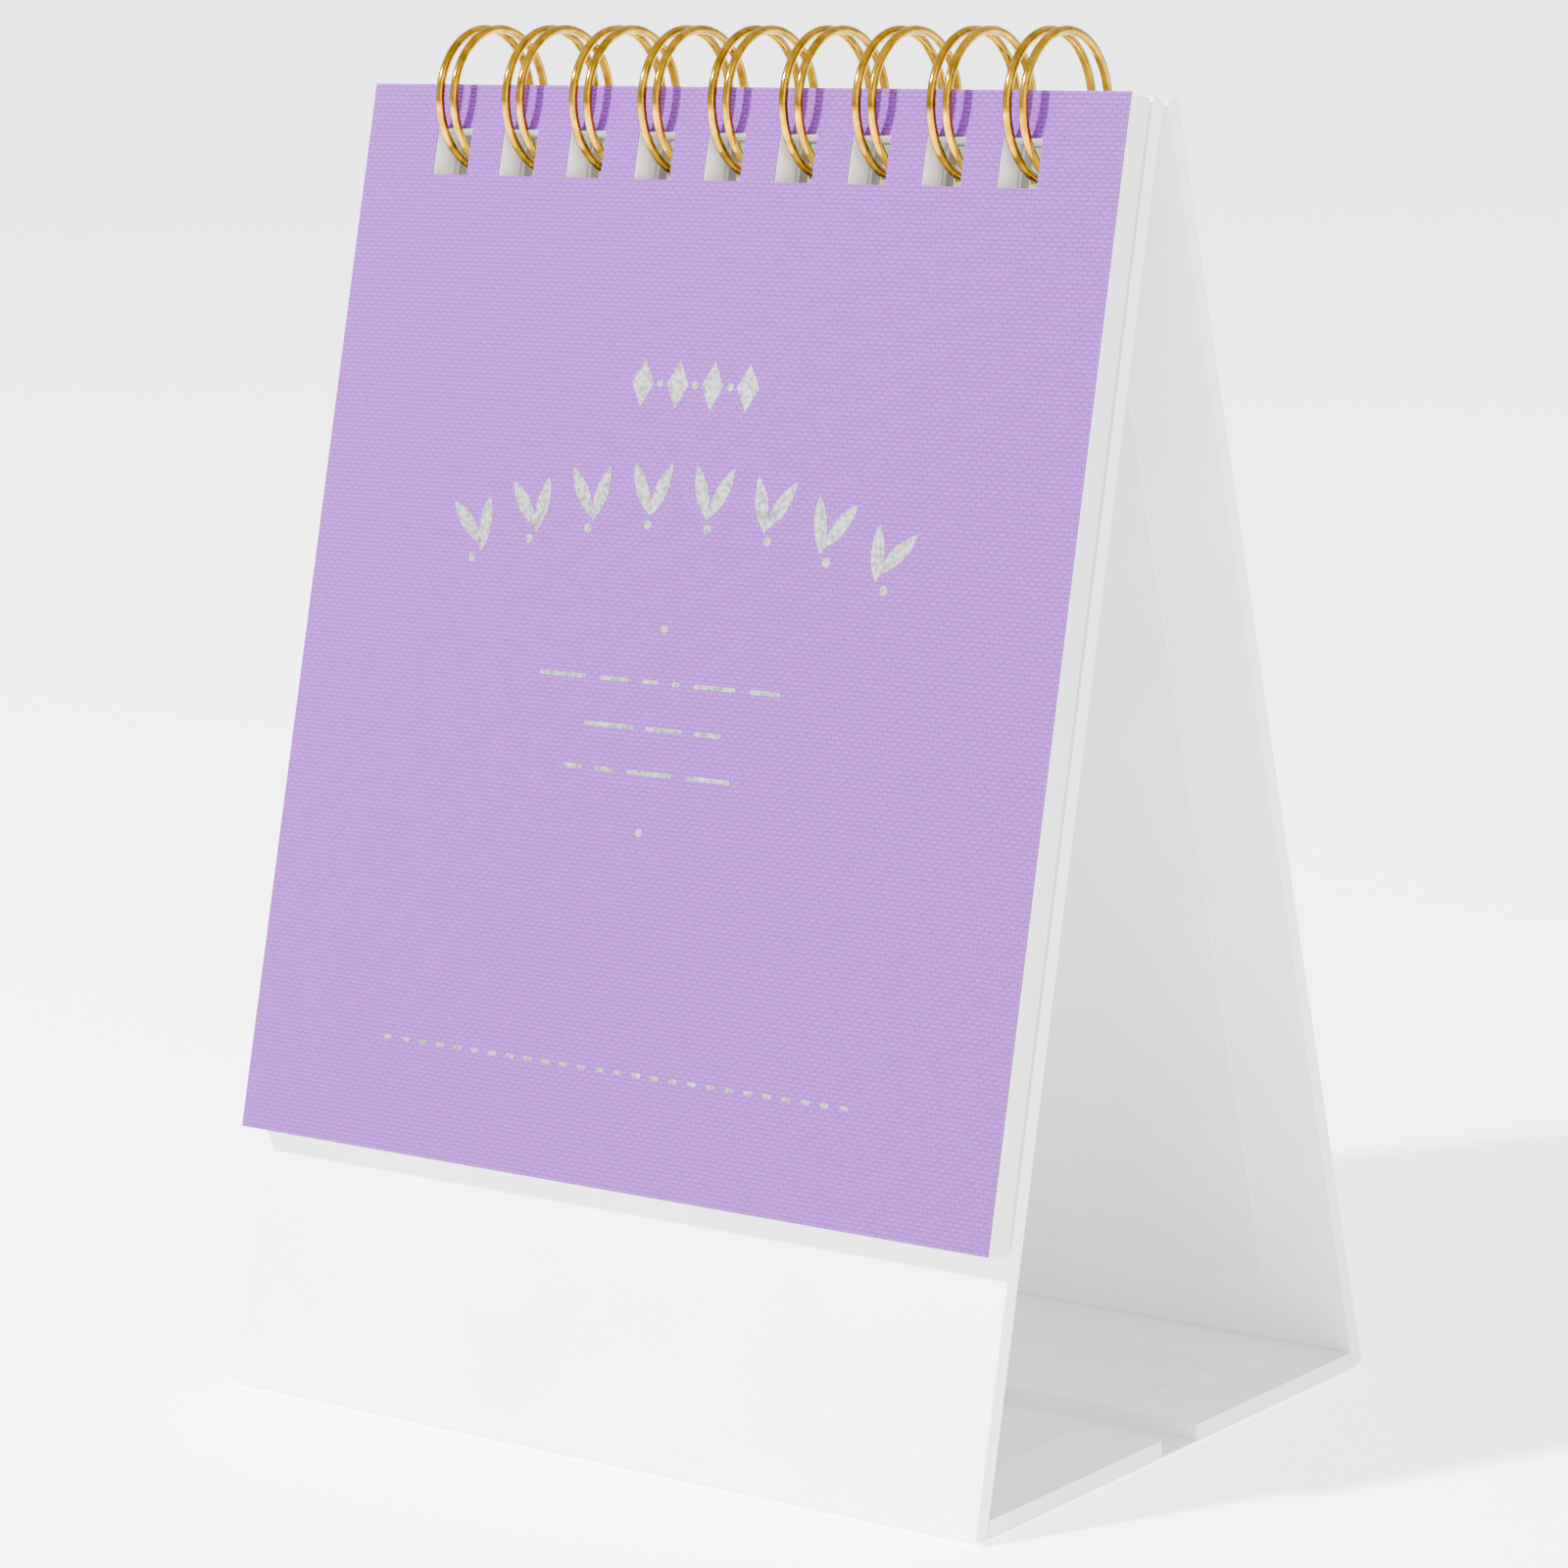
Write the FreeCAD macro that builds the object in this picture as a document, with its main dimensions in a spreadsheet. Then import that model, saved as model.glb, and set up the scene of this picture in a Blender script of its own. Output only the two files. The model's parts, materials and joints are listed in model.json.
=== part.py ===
"""Flip desk calendar: a folding card stand, a twin-loop wire, a cover and twelve leaves. Units are mm.

Row frame: X runs along the width, Y to the back, Z up; the origin is under the middle of the base.
Each leaning panel is drawn upright in its own frame, whose origin is the stand's top hinge line,
and is then turned about X by the panel's tilt and lifted to the hinge height.
"""
import FreeCAD
import Part
import os

os.makedirs("parts", exist_ok=True)
doc = FreeCAD.newDocument("calendar")

SIZES = [
    ("width", 90.0),            # boards, leaves and cover
    ("board_len", 130.0),       # leaning boards, hinge line to foot
    ("board_thick", 1.7),       # greyboard with its wrap
    ("wrap_thick", 0.2),        # paper wrapped round each greyboard
    ("tilt", 13.9),             # lean of each board from upright, degrees
    ("hinge_gap", 0.7),         # between the two boards' inner faces at the top
    ("crease_gap", 6.0),        # between the two halves of the base
    ("foot_gap", 0.15),         # between a base half and the board it hinges to
    ("liner_thick", 0.15),
    ("liner_inset", 9.0),       # liner's edge in from the board's edges
    ("cover_len", 104.5),
    ("cover_thick", 0.2),
    ("cloth_thick", 0.1),       # linen-embossed paper glued on the cover card
    ("leaf_thick", 0.14),
    ("leaf_gap", 0.09),         # air between neighbouring leaves
    ("block_gap", 0.5),         # air between the last leaf and the front board
    ("sheet_drop", 0.26),       # leaves' top edge below the board's top edge
    ("pitch", 8.467),           # three loops to the inch
    ("hole_w", 4.4),
    ("hole_tall", 4.6),
    ("hole_drop", 4.4),         # leaves' top edge to the holes' top edge
    ("wire_dia", 0.85),
    ("ring_rad", 6.9),          # centre line of each loop
    ("ring_drop", 0.5),         # leaves' top edge to the ring's centre
    ("ring_back", 0.3),         # ring's centre ahead of the front board's inner face
    ("loop_half", 0.9),         # half the spacing of a loop's two strands
    ("root_turn", 7.1),         # strand's root, degrees behind straight down
    ("tip_turn", 8.3),          # strand's end, degrees ahead of straight down
    ("bridge_slim", 0.03),      # how much thinner the straight bridges are, in radius
    ("hinge_strip", 3.0),       # height of the paper strip inside the top fold
    ("tape_thick", 0.18),
]
LEAVES = 12
LOOPS = 9

sheet = doc.addObject("Spreadsheet::Sheet", "Sizes")
for row, (name, value) in enumerate(SIZES, start=1):
    sheet.set("A%d" % row, name)
    sheet.set("B%d" % row, str(value))
    sheet.setAlias("B%d" % row, name)
doc.recompute()

# Expressions that several pieces share
HALF_GAP = "(Sizes.hinge_gap/2)"
APEX_Z = "(Sizes.board_len*cos(Sizes.tilt) - Sizes.hinge_gap/2*sin(Sizes.tilt))"
OUTER = "(Sizes.hinge_gap/2 + Sizes.board_thick)"
BLOCK = "(%s + Sizes.block_gap)" % OUTER
LEAF_STEP = "(Sizes.leaf_thick + Sizes.leaf_gap)"
COVER_IN = "(%s + %d*%s)" % (BLOCK, LEAVES, LEAF_STEP)
RING_Y = "(-Sizes.hinge_gap/2 - Sizes.ring_back)"
RING_Z = "(-Sizes.sheet_drop - Sizes.ring_drop)"
FOOT_Y = "(Sizes.board_len*sin(Sizes.tilt) + Sizes.hinge_gap/2*cos(Sizes.tilt))"
BASE_END = "(%s - Sizes.board_thick*tan(Sizes.tilt) - Sizes.foot_gap)" % FOOT_Y
HALF_CREASE = "(Sizes.crease_gap/2)"
nodes = {}


def bind(obj, **expressions):
    """Ties properties of an object to expressions; a double underscore stands for a dot."""
    for prop, text in expressions.items():
        obj.setExpression(prop.replace("__", "."), text)
    return obj


def block(name, size, corner):
    """A box with its low corner at the given place, each given as three expressions."""
    obj = doc.addObject("Part::Box", name)
    bind(obj, Length=size[0], Width=size[1], Height=size[2])
    move(obj, corner)
    return obj


def move(obj, place):
    for axis, text in zip("xyz", place):
        obj.setExpression(".Placement.Base." + axis, text)


def cut(name, base, tool):
    obj = doc.addObject("Part::Cut", name)
    obj.Base = base
    obj.Tool = tool
    return obj


def lean(obj, side, offset=("0", "0", "0")):
    """Turns a panel piece about the top hinge: side -1 is the front board, +1 the rear board."""
    turn = "(%d*Sizes.tilt)" % side
    obj.setExpression(".Placement.Rotation.Axis.x", "1")
    obj.setExpression(".Placement.Rotation.Axis.z", "0")
    obj.setExpression(".Placement.Rotation.Angle", turn)
    x_at, y_at, z_at = offset
    y_text = "(%s)*cos%s - (%s)*sin%s" % (y_at, turn, z_at, turn)
    z_text = "%s + (%s)*sin%s + (%s)*cos%s" % (APEX_Z, y_at, turn, z_at, turn)
    move(obj, (x_at, y_text, z_text))
    return obj


def keep(node, obj):
    obj.Label = node
    nodes[node] = obj


def front_face(side, near, thick):
    """Low Y of a layer that starts `near` from the hinge line and is `thick` deep."""
    return "-(%s) - (%s)" % (near, thick) if side < 0 else near


# Punch bars for the nine holes, used by every punched sheet and board
bars = []
for index in range(LOOPS):
    centre = "(%g*Sizes.pitch)" % (index - (LOOPS - 1) / 2)
    bars.append(block("bar_%d" % index, ("Sizes.hole_w", "40", "Sizes.hole_tall"),
                      (centre + " - Sizes.hole_w/2", "-20",
                       "-Sizes.sheet_drop - Sizes.hole_drop - Sizes.hole_tall")))
punch = doc.addObject("Part::Compound", "punch")
punch.Links = bars


def board(side, name):
    """A leaning board: a punched greyboard core sealed in a paper wrap, with a liner inside."""
    low_y = front_face(side, HALF_GAP, "Sizes.board_thick")
    outer = block(name + "_outer", ("Sizes.width", "Sizes.board_thick", "Sizes.board_len"),
                  ("-Sizes.width/2", low_y, "-Sizes.board_len"))
    inner = block(name + "_inner",
                  ("Sizes.width - 2*Sizes.wrap_thick", "Sizes.board_thick - 2*Sizes.wrap_thick",
                   "Sizes.board_len - 2*Sizes.wrap_thick"),
                  ("-Sizes.width/2 + Sizes.wrap_thick", low_y + " + Sizes.wrap_thick",
                   "-Sizes.board_len + Sizes.wrap_thick"))
    shell = cut(name + "_shell", outer, inner)
    keep(name + "_wrap", lean(cut(name + "_wrap", shell, punch), side))
    keep(name + "_greyboard", lean(cut(name + "_greyboard", inner, punch), side))
    liner_y = "-" + HALF_GAP if side < 0 else HALF_GAP + " - Sizes.liner_thick"
    liner_top = "Sizes.sheet_drop + Sizes.hole_drop + Sizes.hole_tall + Sizes.hinge_strip"
    liner = block(name + "_liner",
                  ("Sizes.width - 2*Sizes.liner_inset", "Sizes.liner_thick",
                   "Sizes.board_len - Sizes.liner_inset - (%s)" % liner_top), ("0", "0", "0"))
    lean(liner, side, ("-Sizes.width/2 + Sizes.liner_inset", liner_y,
                       "-Sizes.board_len + Sizes.liner_inset"))
    keep(name + "_liner", liner)


def base_half(side, name):
    """Half of the base, flat on the table, from its board to the crease."""
    depth = "(%s - %s)" % (BASE_END, HALF_CREASE)
    low_y = "-" + BASE_END if side < 0 else HALF_CREASE
    outer = block(name + "_outer", ("Sizes.width", depth, "Sizes.board_thick"),
                  ("-Sizes.width/2", low_y, "0"))
    inner = block(name + "_greyboard",
                  ("Sizes.width - 2*Sizes.wrap_thick", depth + " - 2*Sizes.wrap_thick",
                   "Sizes.board_thick - 2*Sizes.wrap_thick"),
                  ("-Sizes.width/2 + Sizes.wrap_thick", low_y + " + Sizes.wrap_thick",
                   "Sizes.wrap_thick"))
    keep(name + "_wrap", cut(name + "_wrap", outer, inner))
    keep(name + "_greyboard", inner)
    liner_y = low_y + " + Sizes.liner_inset" if side < 0 else low_y
    keep(name + "_liner", block(name + "_liner",
                                ("Sizes.width - 2*Sizes.liner_inset",
                                 depth + " - Sizes.liner_inset", "Sizes.liner_thick"),
                                ("-Sizes.width/2 + Sizes.liner_inset", liner_y,
                                 "Sizes.board_thick")))
    tape_y = "-" + HALF_CREASE if side < 0 else "0"
    keep(name + "_crease_paper", block(name + "_crease_paper",
                                       ("Sizes.width", HALF_CREASE, "Sizes.tape_thick"),
                                       ("-Sizes.width/2", tape_y, "0")))


def punched_sheet(name, near, thick):
    """A sheet hung in front of the front board, `near` from the hinge line."""
    flat = block(name + "_flat", ("Sizes.width", thick, "Sizes.cover_len"),
                 ("-Sizes.width/2", "-(%s) - %s" % (near, thick),
                  "-Sizes.sheet_drop - Sizes.cover_len"))
    keep(name, lean(cut(name, flat, punch), -1))


def strand(name, x_at):
    """One strand of a loop: nearly a full circle about the ring's centre, in a plane across X."""
    obj = doc.addObject("Part::Torus", name)
    bind(obj, Radius1="Sizes.ring_rad", Radius2="Sizes.wire_dia/2",
         Angle3="360 - Sizes.root_turn - Sizes.tip_turn")
    spin = FreeCAD.Rotation(FreeCAD.Vector(0, 1, 0), 90)
    # the primitive starts on its own X axis, which this turn brings to the strand's root
    start = FreeCAD.Rotation(FreeCAD.Vector(0, 0, 1), sheet.root_turn)
    obj.Placement.Rotation = spin.multiply(start)
    move(obj, (x_at, RING_Y, RING_Z))
    return obj


def wire():
    """The twin-loop wire: two strands and a rounded tip in each hole, joined by straight bridges."""
    pieces = []
    for index in range(LOOPS):
        centre = "(%g*Sizes.pitch)" % (index - (LOOPS - 1) / 2)
        for sign, tag in ((-1, "left"), (1, "right")):
            pieces.append(strand("strand_%s_%d" % (tag, index),
                                 "%s + %d*Sizes.loop_half" % (centre, sign)))
        tip = doc.addObject("Part::Torus", "tip_%d" % index)
        bind(tip, Radius1="Sizes.loop_half", Radius2="Sizes.wire_dia/2", Angle3="180")
        # the half ring lies in the plane of X and the strand's own direction at its end
        tip.Placement.Rotation = FreeCAD.Rotation(FreeCAD.Vector(1, 0, 0), -sheet.tip_turn)
        move(tip, (centre, RING_Y + " - Sizes.ring_rad*sin(Sizes.tip_turn)",
                   RING_Z + " - Sizes.ring_rad*cos(Sizes.tip_turn)"))
        pieces.append(tip)
    for index in range(LOOPS - 1):
        bridge = doc.addObject("Part::Cylinder", "bridge_%d" % index)
        bind(bridge, Radius="Sizes.wire_dia/2 - Sizes.bridge_slim",
             Height="Sizes.pitch - 2*Sizes.loop_half")
        bridge.Placement.Rotation = FreeCAD.Rotation(FreeCAD.Vector(0, 1, 0), 90)
        start = "(%g*Sizes.pitch) + Sizes.loop_half" % (index - (LOOPS - 1) / 2)
        move(bridge, (start, RING_Y + " + Sizes.ring_rad*sin(Sizes.root_turn)",
                      RING_Z + " - Sizes.ring_rad*cos(Sizes.root_turn)"))
        pieces.append(bridge)
    joined = doc.addObject("Part::MultiFuse", "binding_wire")
    joined.Shapes = pieces
    keep("binding_wire", lean(joined, -1))


board(-1, "front_board")
board(1, "rear_board")
base_half(-1, "base_front")
base_half(1, "base_rear")
strip = block("top_hinge_strip", ("Sizes.width", "Sizes.tape_thick", "Sizes.hinge_strip"),
              ("0", "0", "0"))
lean(strip, -1, ("-Sizes.width/2", "-" + HALF_GAP, "-Sizes.hinge_strip"))
keep("top_hinge_strip", strip)
for number in range(1, LEAVES + 1):
    behind = LEAVES - number
    punched_sheet("leaf_%02d" % number, "%s + %d*%s" % (BLOCK, behind, LEAF_STEP),
                  "Sizes.leaf_thick")
punched_sheet("cover_card", COVER_IN, "Sizes.cover_thick")
punched_sheet("cover_cloth", COVER_IN + " + Sizes.cover_thick", "Sizes.cloth_thick")
wire()
doc.recompute()

for obj in doc.Objects:
    if "Invalid" in obj.State or "Error" in obj.State:
        raise RuntimeError("bad state: " + obj.Name)
for node, obj in nodes.items():
    if obj.Shape.isNull() or not obj.Shape.isValid():
        raise RuntimeError("bad shape: " + node)
    obj.Shape.exportStep("parts/%s.step" % node)
    box = obj.Shape.BoundBox
    print(node, len(obj.Shape.Solids), round(obj.Shape.Volume, 2), [round(v, 2) for v in (
        box.XMin, box.YMin, box.ZMin, box.XMax, box.YMax, box.ZMax)])
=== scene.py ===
"""Flip desk calendar: materials, foil ornaments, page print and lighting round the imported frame. Metres."""
import json
import math
import bpy
import bmesh
from mathutils import Matrix, Vector


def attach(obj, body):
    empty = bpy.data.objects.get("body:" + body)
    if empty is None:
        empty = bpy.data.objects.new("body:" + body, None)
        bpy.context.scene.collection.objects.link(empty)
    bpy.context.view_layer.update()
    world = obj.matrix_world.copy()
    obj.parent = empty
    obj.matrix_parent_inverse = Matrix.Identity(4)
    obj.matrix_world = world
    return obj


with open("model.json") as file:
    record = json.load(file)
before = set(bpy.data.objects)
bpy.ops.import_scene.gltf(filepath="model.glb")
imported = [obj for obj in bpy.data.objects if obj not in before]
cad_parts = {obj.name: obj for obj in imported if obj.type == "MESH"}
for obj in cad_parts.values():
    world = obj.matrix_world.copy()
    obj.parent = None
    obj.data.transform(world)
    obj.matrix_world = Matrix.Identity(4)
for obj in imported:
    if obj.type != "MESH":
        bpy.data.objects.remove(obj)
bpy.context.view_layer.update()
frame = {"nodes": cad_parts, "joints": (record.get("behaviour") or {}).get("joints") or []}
nodes = frame["nodes"]
MM = 0.001

# The stand's panels lean by this angle about the top hinge line
TILT = math.radians(13.9)
HINGE_Z = next(j for j in frame["joints"] if j["name"] == "stand_fold")["pos_m"][2]
SHEET_TOP = -0.26 * MM        # leaves' top edge, below the hinge line along the panel
COVER_FACE = -5.61 * MM       # cover's outer face, ahead of the hinge line
LEAF_BACK = -2.55 * MM        # last leaf's inner face
LEAF_STEP = 0.23 * MM         # from one leaf to the next
LEAF_THICK = 0.14 * MM
LEAVES = 12
FOIL_THICK = 0.03 * MM
PRINT_THICK = 0.01 * MM


def panel_matrix(side):
    """Takes panel coordinates (X across, Y inward, Z up from the hinge line) to the row frame."""
    return Matrix.Translation((0, 0, HINGE_Z)) @ Matrix.Rotation(side * TILT, 4, "X")


FRONT = panel_matrix(-1)


# ---- materials ----
def new_material(name, color, rough, metallic=0.0):
    mat = bpy.data.materials.new(name)
    mat.use_nodes = True
    shader = mat.node_tree.nodes["Principled BSDF"]
    shader.inputs["Base Color"].default_value = (*color, 1)
    shader.inputs["Roughness"].default_value = rough
    shader.inputs["Metallic"].default_value = metallic
    return mat, mat.node_tree, shader


def add_noise(tree, scale):
    coords = tree.nodes.new("ShaderNodeTexCoord")
    noise = tree.nodes.new("ShaderNodeTexNoise")
    noise.inputs["Scale"].default_value = scale
    noise.inputs["Detail"].default_value = 4.0
    tree.links.new(coords.outputs["Object"], noise.inputs["Vector"])
    return noise


def add_bump(tree, shader, height, strength, distance):
    bump = tree.nodes.new("ShaderNodeBump")
    bump.inputs["Strength"].default_value = strength
    bump.inputs["Distance"].default_value = distance
    tree.links.new(height, bump.inputs["Height"])
    tree.links.new(bump.outputs["Normal"], shader.inputs["Normal"])


def vary_color(tree, shader, source, low, high):
    """Blends between two close colours by a 0 to 1 value."""
    ramp = tree.nodes.new("ShaderNodeValToRGB")
    ramp.color_ramp.elements[0].position = 0.35
    ramp.color_ramp.elements[1].position = 0.65
    ramp.color_ramp.elements[0].color = (*low, 1)
    ramp.color_ramp.elements[1].color = (*high, 1)
    tree.links.new(source, ramp.inputs["Fac"])
    tree.links.new(ramp.outputs["Color"], shader.inputs["Base Color"])


def paper(name, low, high, rough, grain=2500.0, strength=0.15):
    mat, tree, shader = new_material(name, high, rough)
    fine = add_noise(tree, grain)
    vary_color(tree, shader, add_noise(tree, 60.0).outputs["Fac"], low, high)
    add_bump(tree, shader, fine.outputs["Fac"], strength, 0.02 * MM)
    return mat


def linen(name, low, high):
    """Embossed linen: brick-offset rows of short horizontal dents in lavender paper; the dents get the darker
    colour as painted shade.
    """
    mat, tree, shader = new_material(name, high, 0.62)
    shader.inputs["Specular IOR Level"].default_value = 0.15
    coords = tree.nodes.new("ShaderNodeTexCoord")
    lay = tree.nodes.new("ShaderNodeMapping")
    lay.inputs["Rotation"].default_value = (TILT - math.pi / 2, 0, 0)
    brick = tree.nodes.new("ShaderNodeTexBrick")
    brick.offset = 0.5
    brick.inputs["Scale"].default_value = 1.0
    brick.inputs["Brick Width"].default_value = 0.95 * MM
    brick.inputs["Row Height"].default_value = 0.42 * MM
    brick.inputs["Mortar Size"].default_value = 0.11 * MM
    brick.inputs["Mortar Smooth"].default_value = 1.0
    brick.inputs["Color1"].default_value = (*high, 1)
    brick.inputs["Color2"].default_value = (*high, 1)
    # The dents (mortar) take the darker colour: painted shade in the dents, not a dye of the paper.
    brick.inputs["Mortar"].default_value = (*low, 1)
    tree.links.new(coords.outputs["Object"], lay.inputs["Vector"])
    tree.links.new(lay.outputs["Vector"], brick.inputs["Vector"])
    tint = tree.nodes.new("ShaderNodeMix")
    tint.data_type = "RGBA"
    tint.inputs["Factor"].default_value = 0.45
    cloud = add_noise(tree, 900.0)
    speck = tree.nodes.new("ShaderNodeValToRGB")
    speck.color_ramp.elements[0].color = (*low, 1)
    speck.color_ramp.elements[1].color = (*high, 1)
    tree.links.new(cloud.outputs["Fac"], speck.inputs["Fac"])
    tree.links.new(brick.outputs["Color"], tint.inputs["A"])
    tree.links.new(speck.outputs["Color"], tint.inputs["B"])
    tree.links.new(tint.outputs["Result"], shader.inputs["Base Color"])
    add_bump(tree, shader, brick.outputs["Fac"], 0.8, -0.08 * MM)
    return mat


def metal(name, low, high, rough, grain, strength):
    mat, tree, shader = new_material(name, high, rough, 1.0)
    grain_noise = add_noise(tree, grain)
    vary_color(tree, shader, grain_noise.outputs["Fac"], low, high)
    add_bump(tree, shader, grain_noise.outputs["Fac"], strength, 0.02 * MM)
    return mat


WRAP = paper("wrap_paper", (0.80, 0.80, 0.80), (0.84, 0.84, 0.84), 0.42)
LINER = paper("liner_paper", (0.74, 0.74, 0.745), (0.79, 0.79, 0.79), 0.5)
LEAF = paper("leaf_paper", (0.82, 0.81, 0.80), (0.87, 0.865, 0.86), 0.7)
CARD = paper("card_core", (0.80, 0.79, 0.78), (0.87, 0.865, 0.86), 0.75, 1200.0, 0.3)
GREY = paper("greyboard", (0.30, 0.28, 0.26), (0.42, 0.40, 0.37), 0.9, 900.0, 0.6)
LAVENDER = linen("lavender_linen", (0.095, 0.017, 0.185), (0.150, 0.031, 0.260))
GOLD = metal("gold_wire", (0.27, 0.140, 0.004), (0.55, 0.300, 0.010), 0.12, 700.0, 0.08)
FOIL = metal("silver_foil", (0.42, 0.41, 0.44), (0.97, 0.96, 0.98), 0.20, 2200.0, 1.0)
INK = paper("grey_ink", (0.16, 0.16, 0.17), (0.22, 0.22, 0.23), 0.8)

# By the last word of the node's name; leaves and the remaining paper pieces are set below
NODE_LOOKS = {"greyboard": GREY, "liner": LINER, "wire": GOLD, "card": CARD, "cloth": LAVENDER}


def dress_nodes():
    """Gives every CAD node its material, and the boards softly rounded paper edges."""
    for name, obj in nodes.items():
        look = NODE_LOOKS.get(name.split("_")[-1], LEAF if name.startswith("leaf") else WRAP)
        obj.data.materials.clear()
        obj.data.materials.append(look)
        if name == "binding_wire":
            for face in obj.data.polygons:
                face.use_smooth = True
        if name.endswith("_wrap"):
            bevel = obj.modifiers.new("soft_edges", "BEVEL")
            bevel.width = 0.35 * MM
            bevel.segments = 3
            bevel.limit_method = "ANGLE"
            bevel.angle_limit = math.radians(40)
            bevel.use_clamp_overlap = True


# ---- thin printed shapes ----
def prisms(name, outlines, face_y, thick, material, body):
    """Thin closed prisms standing on a panel face; each outline is a list of (across, down) points."""
    mesh = bmesh.new()
    for outline in outlines:
        back = [mesh.verts.new((x, face_y, SHEET_TOP - z)) for x, z in outline]
        front = [mesh.verts.new((x, face_y - thick, SHEET_TOP - z)) for x, z in outline]
        mesh.faces.new(back)
        mesh.faces.new(front[::-1])
        count = len(outline)
        for i in range(count):
            j = (i + 1) % count
            mesh.faces.new((back[j], back[i], front[i], front[j]))
    bmesh.ops.recalc_face_normals(mesh, faces=mesh.faces)
    bmesh.ops.transform(mesh, matrix=FRONT, verts=mesh.verts)
    data = bpy.data.meshes.new(name)
    mesh.to_mesh(data)
    mesh.free()
    obj = bpy.data.objects.new(name, data)
    bpy.context.collection.objects.link(obj)
    data.materials.append(material)
    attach(obj, body)
    return obj


def ring_points(cx, cz, wide, tall, count):
    """Points round an ellipse, or a diamond when count is 4."""
    points = []
    for i in range(count):
        angle = 2 * math.pi * i / count
        points.append((cx + wide / 2 * math.cos(angle), cz + tall / 2 * math.sin(angle)))
    return points


def leaf_shape(cx, cz, long, wide, turn):
    """A pointed petal, made of two arcs."""
    steps = 8
    points = []
    for sign in (1, -1):
        for i in range(steps):
            t = -1 + 2 * i / steps
            x = sign * t * long / 2
            z = sign * wide / 2 * (1 - t * t)
            points.append((cx + x * math.cos(turn) - z * math.sin(turn),
                           cz + x * math.sin(turn) + z * math.cos(turn)))
    return points


def dash_row(down, widths, gap, tall):
    """A centred row of short foil bars with rounded ends cut to six corners."""
    total = sum(widths) + gap * (len(widths) - 1)
    x = -total / 2
    outlines = []
    for width in widths:
        nip = tall / 3
        outlines.append([(x, down), (x + nip, down - tall / 2), (x + width - nip, down - tall / 2),
                         (x + width, down), (x + width - nip, down + tall / 2),
                         (x + nip, down + tall / 2)])
        x += width + gap
    return outlines


def foil_ornaments():
    """A generic composition in place of lettering: beads, an arch of petals, dots and dashes."""
    bead_row = 28.5 * MM
    bead_step = 4.2 * MM
    dot = 0.8 * MM
    beads = [ring_points((i - 1.5) * bead_step, bead_row, 2.6 * MM, 4.6 * MM, 4) for i in range(4)]
    beads += [ring_points((i - 1) * bead_step, bead_row, dot, dot, 12) for i in range(3)]
    prisms("foil_beads", beads, COVER_FACE, FOIL_THICK, FOIL, "cover")
    arch = []
    radius = 70 * MM            # of the arch, whose crown is at arch_top
    arch_top = 38.5 * MM
    petal_turn = 0.42           # radians that each petal of a pair leans out
    for i in range(8):
        angle = (i - 3.5) * math.radians(5.9)
        x = radius * math.sin(angle)
        z = arch_top + radius * (1 - math.cos(angle))
        for side in (-1, 1):
            turn = math.pi / 2 + angle + side * petal_turn
            arch.append(leaf_shape(x + side * 1.15 * MM, z, 5.6 * MM, 1.5 * MM, turn))
        arch.append(ring_points(x, z + 3.4 * MM, 0.9 * MM, 0.9 * MM, 12))
    prisms("foil_arch", arch, COVER_FACE, FOIL_THICK, FOIL, "cover")
    dots = [ring_points(0, down * MM, dot, dot, 16) for down in (51.7, 71.0)]
    prisms("foil_dots", dots, COVER_FACE, FOIL_THICK, FOIL, "cover")
    tall = 0.42 * MM
    rows = dash_row(56.8 * MM, [w * MM for w in (5.8, 3.6, 2.0, 1.0, 5.0, 3.6)], 1.6 * MM, tall)
    rows += dash_row(61.2 * MM, [w * MM for w in (6.0, 4.4, 3.2)], 1.4 * MM, tall)
    rows += dash_row(65.4 * MM, [w * MM for w in (2.2, 2.2, 5.4, 5.4)], 1.6 * MM, tall)
    rows += dash_row(93.5 * MM, [1.1 * MM] * 26, 1.1 * MM, 0.4 * MM)
    prisms("foil_rows", rows, COVER_FACE, FOIL_THICK, FOIL, "cover")


def month_grids():
    """A plain ruled grid of day boxes on every leaf, with nothing written in it."""
    line = 0.15 * MM
    grid_top = 26 * MM
    grid_foot = 92 * MM
    for number in range(1, LEAVES + 1):
        face = LEAF_BACK - (LEAVES - number) * LEAF_STEP - LEAF_THICK
        lines = []
        for col in range(8):
            x = (-35 + col * 10) * MM
            lines.append([(x, grid_top), (x + line, grid_top), (x + line, grid_foot), (x, grid_foot)])
        for row in range(7):
            z = (26 + row * 10.97) * MM
            lines.append([(-35 * MM, z), (35.15 * MM, z), (35.15 * MM, z + line), (-35 * MM, z + line)])
        lines += dash_row(18 * MM, [2.5 * MM] * (1 + number % 4), 1.2 * MM, 1.0 * MM)
        prisms("month_grid_%02d" % number, lines, face, PRINT_THICK, INK,
               "leaf_%02d" % number)


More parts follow.
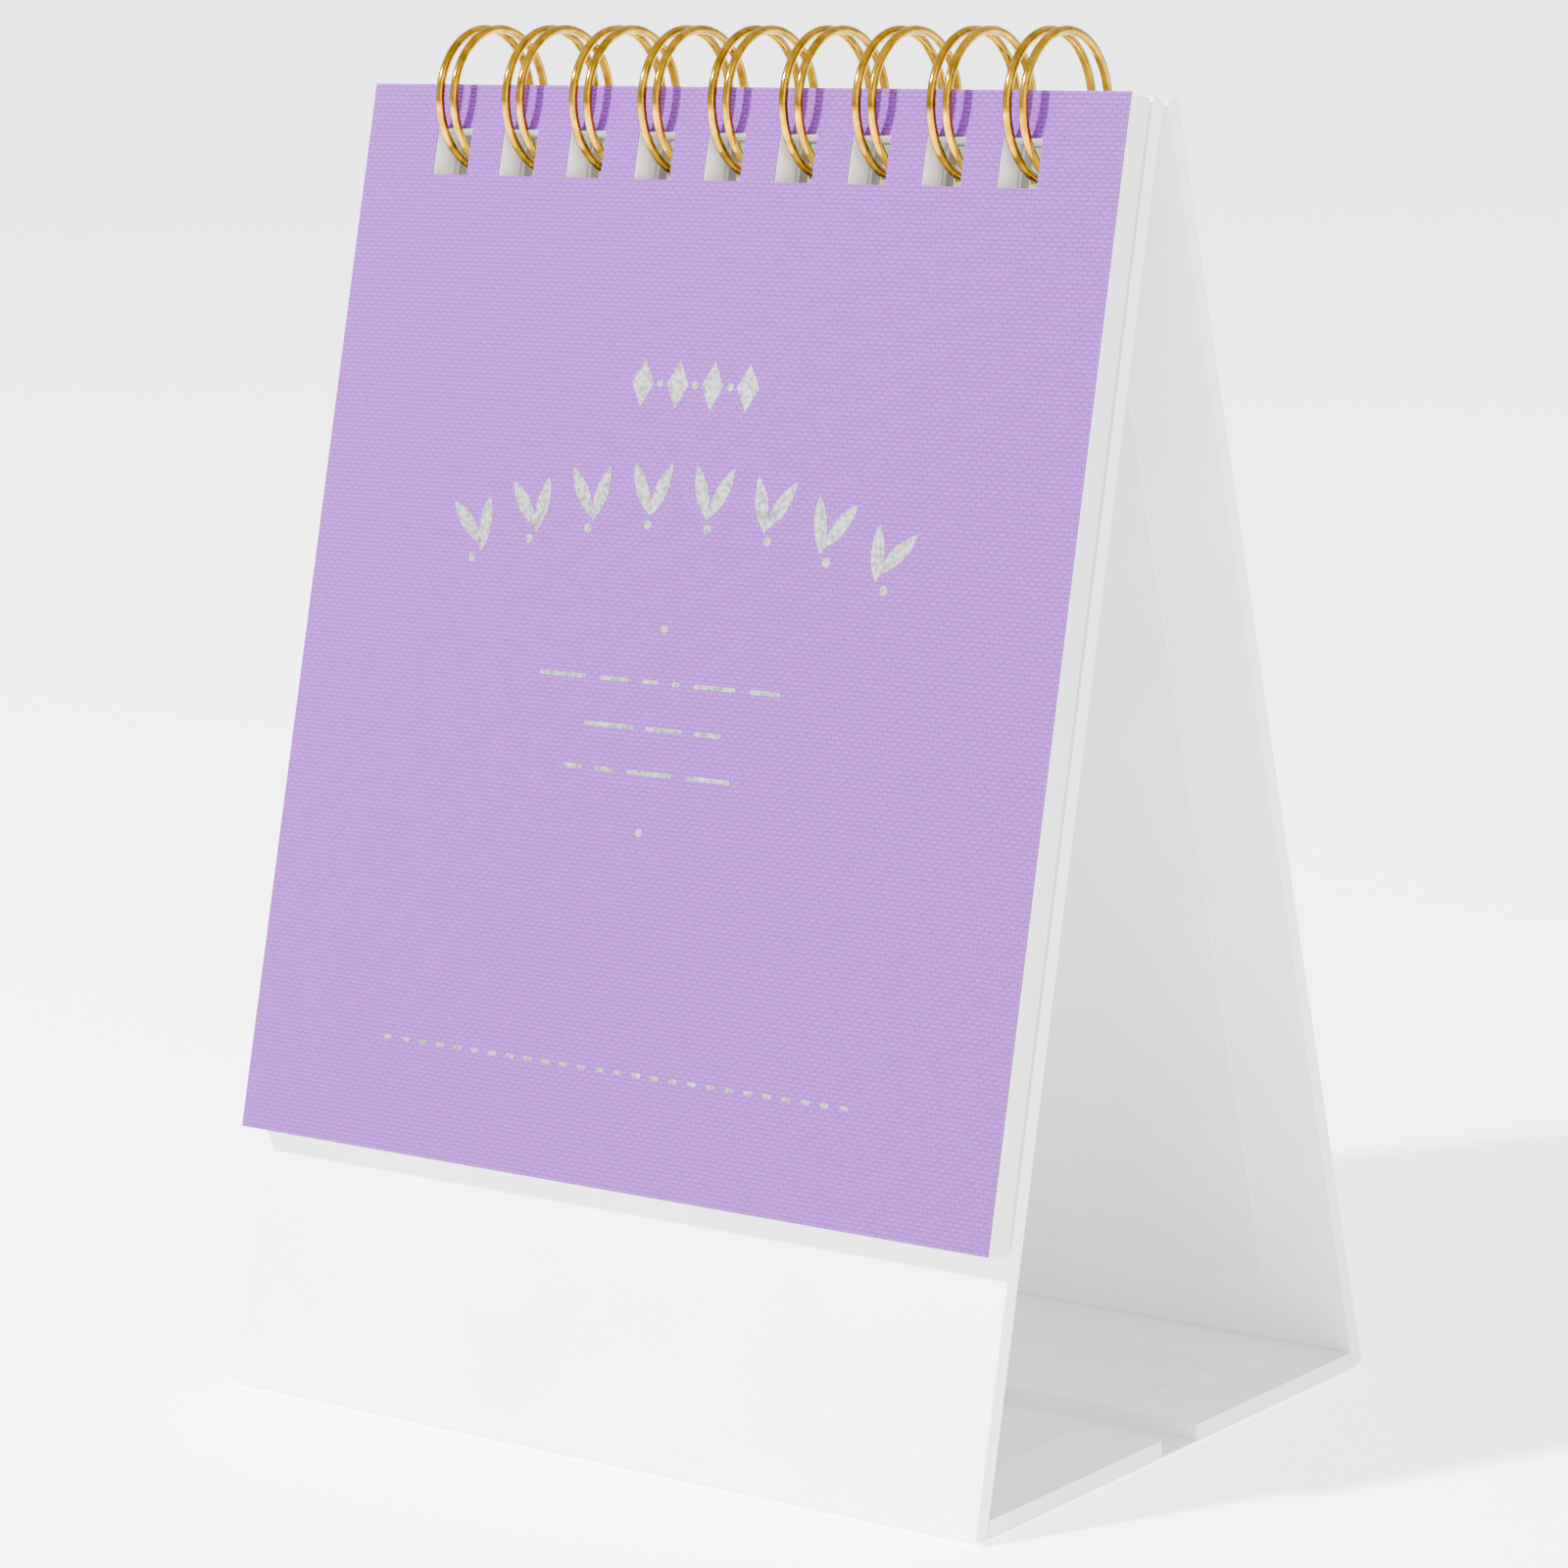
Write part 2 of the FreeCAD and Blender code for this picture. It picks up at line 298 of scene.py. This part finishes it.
# ---- stage, light and camera ----
def stage():
    mesh = bpy.data.meshes.new("floor")
    size = 6.0
    mesh.from_pydata([(-size, -size, 0), (size, -size, 0), (size, size, 0), (-size, size, 0)],
                     [], [(0, 1, 2, 3)])
    floor = bpy.data.objects.new("floor", mesh)
    bpy.context.collection.objects.link(floor)
    floor.location.z = -0.0002
    mat, tree, shader = new_material("floor_white", (0.95, 0.95, 0.95), 0.9)
    vary_color(tree, shader, add_noise(tree, 3.0).outputs["Fac"], (0.94, 0.94, 0.94),
               (0.95, 0.95, 0.95))
    shader.inputs["Emission Color"].default_value = (1, 1, 1, 1)
    shader.inputs["Emission Strength"].default_value = 2.2
    mesh.materials.append(mat)


def area_light(name, place, size, power):
    """A square lamp that faces the lower half of the calendar."""
    data = bpy.data.lights.new(name, "AREA")
    data.size = size
    data.energy = power
    lamp = bpy.data.objects.new(name, data)
    lamp.location = place
    lamp.rotation_euler = (Vector((0, 0, 0.06)) - Vector(place)).to_track_quat("-Z", "Y").to_euler()
    bpy.context.collection.objects.link(lamp)


def lights():
    world = bpy.data.worlds.new("studio")
    bpy.context.scene.world = world
    world.use_nodes = True
    world.node_tree.nodes["Background"].inputs["Color"].default_value = (1, 1, 1, 1)
    world.node_tree.nodes["Background"].inputs["Strength"].default_value = 1.35
    area_light("key", (-0.42, -0.75, 0.75), 0.07, 62.0)
    area_light("fill", (0.9, -0.6, 0.5), 0.8, 5.0)


def camera():
    place = (0.2972, -0.3883, 0.1470)
    yaw = math.radians(37.2)
    pitch = math.radians(8.73)
    roll = math.radians(-1.215)
    back = Vector((math.sin(yaw) * math.cos(pitch), -math.cos(yaw) * math.cos(pitch),
                   math.sin(pitch)))
    right = Vector((0, 0, 1)).cross(back).normalized()
    up = back.cross(right)
    right_rolled = math.cos(roll) * right + math.sin(roll) * up
    up_rolled = math.cos(roll) * up - math.sin(roll) * right
    turn = Matrix((right_rolled, up_rolled, back)).transposed()
    data = bpy.data.cameras.new("camera")
    data.sensor_width = 36.0
    data.lens = 117.1
    data.shift_x = -0.011
    data.shift_y = -0.081
    cam = bpy.data.objects.new("camera", data)
    cam.matrix_world = Matrix.Translation(place) @ turn.to_4x4()
    bpy.context.collection.objects.link(cam)
    bpy.context.scene.camera = cam


dress_nodes()
foil_ornaments()
month_grids()
stage()
lights()
camera()
bpy.context.view_layer.update()
